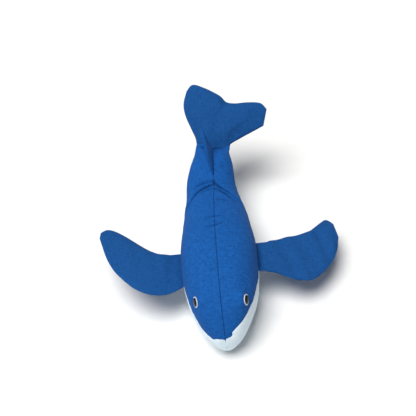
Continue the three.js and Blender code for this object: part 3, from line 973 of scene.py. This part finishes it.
area_light("fill", (-1.3, -1.2, 1.2), (0, 0, 0.06), 1.0, 3.0, (0.95, 0.97, 1))
sun = bpy.data.objects.new("softbox", bpy.data.lights.new("softbox", "SUN"))
sun.data.energy = 3.35
sun.data.angle = math.radians(40)
sun.data.color = (1, 0.99, 0.97)
sun.rotation_mode = "QUATERNION"
sun.rotation_quaternion = Vector((0.2, 0.16, -1)).to_track_quat("-Z", "Y")
bpy.context.scene.collection.objects.link(sun)
world = bpy.data.worlds.new("studio")
bpy.context.scene.world = world
world.use_nodes = True
world.node_tree.nodes["Background"].inputs["Color"].default_value = (0.96, 0.98, 1, 1)
world.node_tree.nodes["Background"].inputs["Strength"].default_value = 0.16
bpy.context.scene.view_settings.view_transform = "Standard"

# ------------------------------ pieces: body
SIDES = (("left", 1), ("right", -1))
PANELS = (("back", True, BLUE, "blue_fabric"), ("belly", False, WHITE, "white_fabric"))
for word, side in SIDES:
    for part, upper, material, slot in PANELS:
        panel = body_panel(f"{part}_fabric_{word}", side, upper)
        finished(panel, material, [f"{part}_panel_{word}", f"tail_{part}_panel_{word}"])
        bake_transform(panel)


FILLING_FROM = 4 * MM
FILLING_TO = 328 * MM
FILLING_COLUMNS = 60
FILLING_STRIDE = 3               # it has one row for so many of the cloth's
FILLING_INSET = (5.5, 1.2)       # under the cloth, and how uneven that is, in millimetres
FILLING_LIFT = 2.5 * MM          # over the floor


def body_filling():
    """Loose fibre that fills the sewn body, a little inside its cloth."""
    around = np.linspace(0, 2 * np.pi, FILLING_COLUMNS, endpoint=False)
    y = curve(BODY, rows)[:, 0] * MM
    s = rows[(y > FILLING_FROM) & (y < FILLING_TO)][::FILLING_STRIDE]
    points = body_point(*np.meshgrid(s, around, indexing="ij"))
    middle = points.mean(1, keepdims=True)
    reach = np.linalg.norm(points - middle, axis=-1, keepdims=True).clip(1e-6)
    mean_inset, uneven = FILLING_INSET
    inset = (mean_inset + uneven * lumps(points, 14 * MM, SEEDS["filling"]))[..., None] * MM
    points = middle + (points - middle) * (1 - inset / reach).clip(0.2)
    points[..., 2] = np.maximum(points[..., 2], FILLING_LIFT)
    index = np.arange(points.shape[0] * points.shape[1]).reshape(points.shape[:2])
    wrapped = np.concatenate([index, index[:, :1]], axis=1)
    faces = [list(face) for face in cells(wrapped)]
    faces.append(list(index[0]))
    faces.append(list(index[-1][::-1]))
    return new_object("body_filling", points.reshape(-1, 3), faces)


filling = finished(body_filling(), FIBRE, ["torso_filling", "tail_filling"])
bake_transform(filling)

# ------------------------------ pieces: limbs
FLIPPER_GRID, FLUKE_GRID, FIN_GRID = (44, 26), (56, 30), (24, 20)     # steps along and across a pad
FLIPPER_CROWN, FLUKE_CROWN, FIN_CROWN = 8 * MM, 7.5 * MM, 3 * MM
ROOT_RUNGS = 8                   # this many rungs on each side of the fluke's middle are sewn to the tail


def pad_cloth(name, layers, words, flat, place, material):
    """The two cloth pieces of a pad."""
    for word, layer, out in zip(words, layers, (1, -1)):
        piece = subdivided(pad_piece(f"{name}_{word}_fabric", layer, out, flat, place))
        finished(piece, material, [f"{name}_{word}_skin"])
        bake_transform(piece)


def stuffed_pad(name, outline, grid, crown, plump, pinned, place):
    """A pad's top cloth, bottom cloth and stuffing."""
    top, bottom, flat = pad_layers(name, outline, grid, crown, plump, pinned)
    pad_cloth(name, (top, bottom), ("top", "bottom"), flat, place, LIMB_BLUE)
    stuffing = subdivided(filling_piece(f"{name}_stuffing", top, bottom, place))
    finished(stuffing, FIBRE, [f"{name}_filling"])
    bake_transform(stuffing)


# How plump a pad is along its length, from 0 to 1.
def thin_at_root(along):
    return np.minimum(1, 0.25 + along / 0.2) * (1 - along**4)


def even_plump(along):
    return np.minimum(1, 0.6 + along / 0.5) * (1 - along**6)


def thin_at_both_ends(along):
    return np.sin(np.pi * along).clip(0) ** 0.5


def placing(origin, *ways):
    """A function that turns limb coordinates, measured along three directions, into the row frame."""

    def place(points):
        return origin + sum(points[..., k : k + 1] * way for k, way in enumerate(ways))

    return place


for word, side in SIDES:
    origin, _, face, _ = limb_frame(
        f"flipper_{word}_flap", [f"flipper_{word}_top_skin", f"flipper_{word}_bottom_skin"], (0, 0, 1)
    )
    tailwards = np.array([0, 1.0, 0])
    outwards = np.cross(tailwards, face)
    outwards = outwards * np.sign(outwards[0] * side)
    stuffed_pad(
        f"flipper_{word}", FLIPPER_EDGES[word], FLIPPER_GRID, FLIPPER_CROWN, thin_at_root, np.s_[0, :],
        placing(origin, outwards, tailwards, face),
    )

middle_rung = FLUKE_GRID[0] // 2
stuffed_pad(
    "fluke", (FLUKE_LEAD, FLUKE_TRAIL), FLUKE_GRID, FLUKE_CROWN, thin_at_both_ends,
    np.s_[middle_rung - ROOT_RUNGS : middle_rung + ROOT_RUNGS + 1, 0],
    placing(fluke_origin, fluke_across, fluke_back, fluke_face),
)

fin_origin, fin_along, fin_face, fin_up = limb_frame(
    "dorsal_fin_flop", ["dorsal_fin_left_skin", "dorsal_fin_right_skin"], (1, 0, 0)
)
fin_up = fin_up * np.sign(fin_up[2])
*fin_layers, fin_flat = pad_layers("dorsal_fin", (FIN_LEAD, FIN_TRAIL), FIN_GRID, FIN_CROWN, even_plump)
pad_cloth(
    "dorsal_fin", fin_layers, ("left", "right"), fin_flat, placing(fin_origin, fin_along, fin_up, fin_face),
    BLUE,
)


# ------------------------------ pieces: eyes
TURN_SEGMENTS = 48


def turned(name, profile, centre, axis):
    """A piece turned on an axis from radius and height pairs that start and end on it or close up."""
    side_way = np.cross(axis, [0, 0, 1])
    side_way = side_way / np.linalg.norm(side_way)
    up_way = np.cross(side_way, axis)
    angle = np.linspace(0, 2 * np.pi, TURN_SEGMENTS, endpoint=False)
    radius, height = np.array(profile).T * MM
    ring = np.cos(angle)[:, None] * side_way + np.sin(angle)[:, None] * up_way
    points = centre + radius[None, :, None] * ring[:, None] + height[None, :, None] * axis
    index = np.arange(points.shape[0] * points.shape[1]).reshape(points.shape[:2])
    wrapped = np.concatenate([index, index[:1]], axis=0)
    if radius[0] > 0:
        wrapped = np.concatenate([wrapped, wrapped[:, :1]], axis=1)
    made = new_object(name, points.reshape(-1, 3), cells(wrapped))
    work = bmesh.new()
    work.from_mesh(made.data)
    bmesh.ops.remove_doubles(work, verts=work.verts, dist=1e-7)
    bmesh.ops.recalc_face_normals(work, faces=work.faces)
    work.to_mesh(made.data)
    work.free()
    return made


CORNER_STEPS = 5


def rounded(inner, outer, low, high, radius):
    """A washer's section with rounded corners."""
    corners = ((outer - radius, low + radius, -90), (outer - radius, high - radius, 0),
               (inner + radius, high - radius, 90), (inner + radius, low + radius, 180))
    section = []
    for r, z, first in corners:
        for step in range(CORNER_STEPS):
            a = math.radians(first + step * 90 / (CORNER_STEPS - 1))
            section.append((r + radius * math.cos(a), z + radius * math.sin(a)))
    return section


# The eye's parts, in millimetres: radius, and height from the middle of the ring.
DOME_RADIUS, DOME_FOOT, DOME_RISE = 6.3, 0.5, 2.5
SHANK_RADIUS, SHANK_END = 2, -15
DOME_STOPS = np.radians(range(10, 90, 10))
DOME_SECTION = [
    (0, SHANK_END), (SHANK_RADIUS - 0.6, SHANK_END), (SHANK_RADIUS, SHANK_END + 0.6), (SHANK_RADIUS, -0.2),
    (DOME_RADIUS - 0.4, -0.2), (DOME_RADIUS, 0.2), (DOME_RADIUS, DOME_FOOT),
    *((DOME_RADIUS * math.cos(a), DOME_FOOT + DOME_RISE * math.sin(a)) for a in DOME_STOPS),
    (0, DOME_FOOT + DOME_RISE),
]
RING_SECTION = rounded(DOME_RADIUS + 0.1, RING_RADIUS / MM, -0.7, 0.6, 0.4)
LOCK_SECTION = rounded(SHANK_RADIUS + 0.3, 6.5, -6.9, -5.4, 0.4)
EYE_PARTS = (
    ("dome", DOME_SECTION, BLACK, "black_plastic", "eye"),
    ("rim", RING_SECTION, PALE, "white_ring", "eye_ring"),
    ("lock", LOCK_SECTION, NYLON, "washer_nylon", "eye_washer"),
)
for word, side in SIDES:
    for part, section, material, slot, replaced in EYE_PARTS:
        piece = turned(f"eye_{part}_{word}", section, *EYES[word])
        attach(finished(piece, material, [f"{replaced}_{word}"]), "torso")
